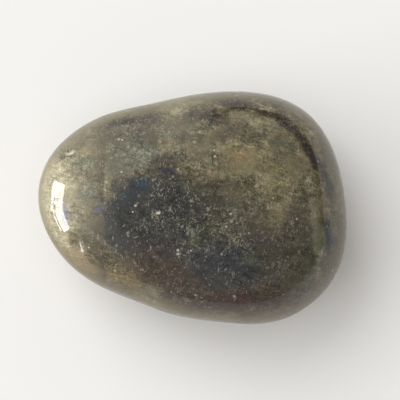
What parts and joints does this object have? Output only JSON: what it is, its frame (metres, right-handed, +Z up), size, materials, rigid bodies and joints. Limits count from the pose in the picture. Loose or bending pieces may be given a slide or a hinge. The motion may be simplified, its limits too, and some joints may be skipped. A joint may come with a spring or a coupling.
{
  "type": "labradorite stone",
  "caption": "Tumble-polished labradorite pebble: a blunt egg with a narrow nose, a broad end and a small worn flat it rests on.",
  "frame": {"origin": "on the resting flat under the stone, below the middle of its box", "axes": "+X from the narrow nose to the broad end, which is the longest way; +Z up from the resting flat, which is the shortest way; +Y to the stone's left when looking from the nose to the broad end"},
  "size_m": [0.031, 0.0232, 0.0138],
  "materials": {
    "polished_labradorite": "polished"
  },
  "bodies": {
    "root": {"labradorite_stone": "polished_labradorite"}
  },
  "joints": []
}
